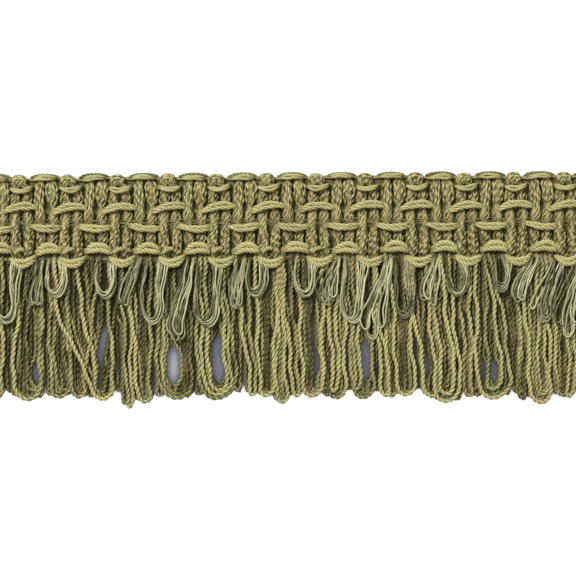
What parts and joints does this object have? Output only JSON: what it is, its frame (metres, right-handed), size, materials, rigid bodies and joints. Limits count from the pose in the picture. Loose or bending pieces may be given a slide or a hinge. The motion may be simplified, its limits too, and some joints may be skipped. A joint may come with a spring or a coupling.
{
  "type": "loop fringe trim",
  "caption": "Flat cut length of upholstery loop fringe: a woven heading with a skirt of long looped cords and a valance of short smooth loops in a zigzag over it.",
  "frame": {"origin": "middle of the heading's flat back, which is sewn or glued to the upholstery", "axes": "+X along the trim, +Y across it from the looped ends to the heading's top edge, +Z out of the trim's face"},
  "size_m": [0.1163, 0.0453, 0.0034],
  "materials": {
    "heading_yarn": "twisted cord with a slight sheen",
    "skirt_cord": "twisted cord with a slight sheen",
    "valance_yarn": "smooth filament with a soft shine"
  },
  "bodies": {
    "root": {"heading": "heading_yarn", "skirt_loops": "skirt_cord", "valance_loops": "valance_yarn"}
  },
  "joints": []
}
